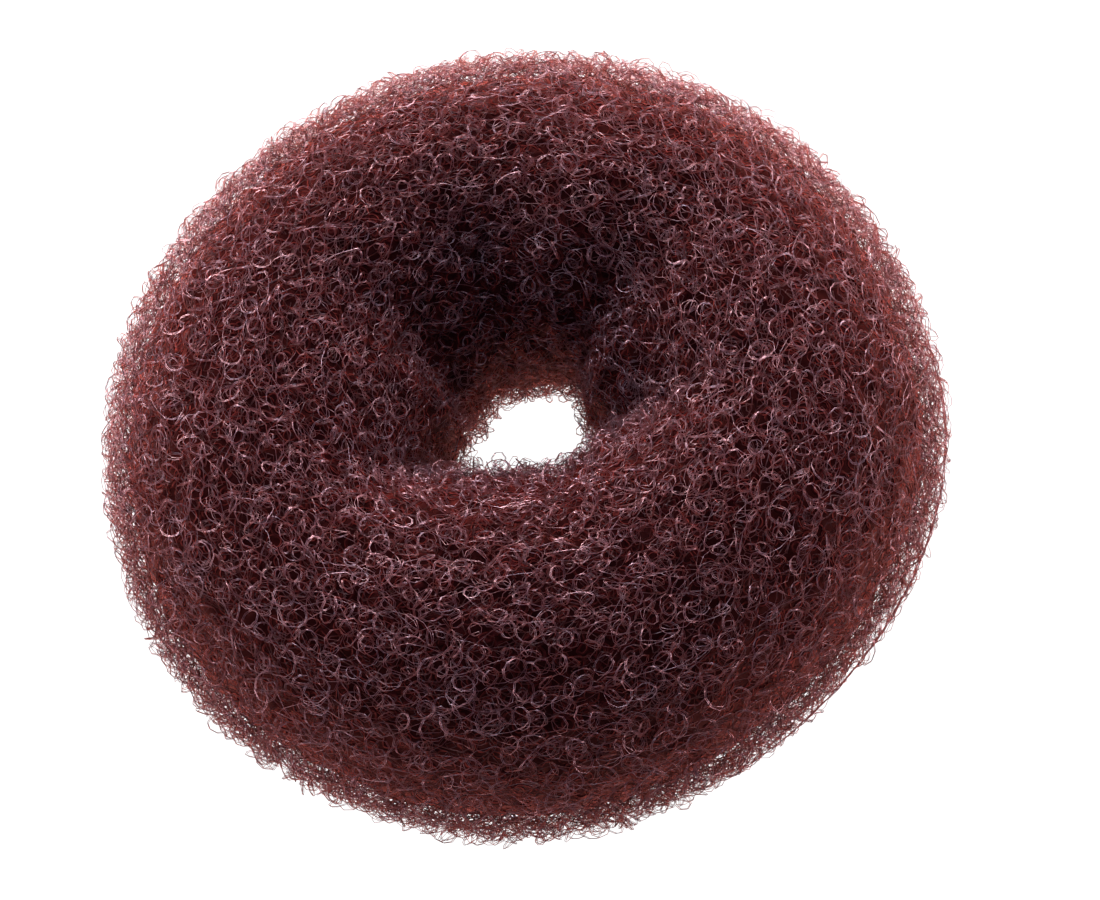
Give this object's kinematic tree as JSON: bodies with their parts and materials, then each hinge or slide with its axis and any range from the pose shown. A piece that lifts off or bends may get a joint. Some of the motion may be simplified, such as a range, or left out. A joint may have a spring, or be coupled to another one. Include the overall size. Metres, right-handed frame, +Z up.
{
  "type": "hair donut bun maker",
  "caption": "Fat soft ring of rolled-up loop mesh with a small puckered hole: a ponytail goes through the hole and is spread over the ring to make a full bun.",
  "frame": {"origin": "on the resting plane, at the middle of the ring", "axes": "+Z up along the hole; -Y is the side nearest the picture's camera, and +X is its right"},
  "size_m": [0.0898, 0.0899, 0.0384],
  "materials": {
    "mesh": "reddish brown mesh of curly, slightly shiny nylon loops"
  },
  "bodies": {
    "root": {"mesh_ring": "mesh"}
  },
  "joints": []
}
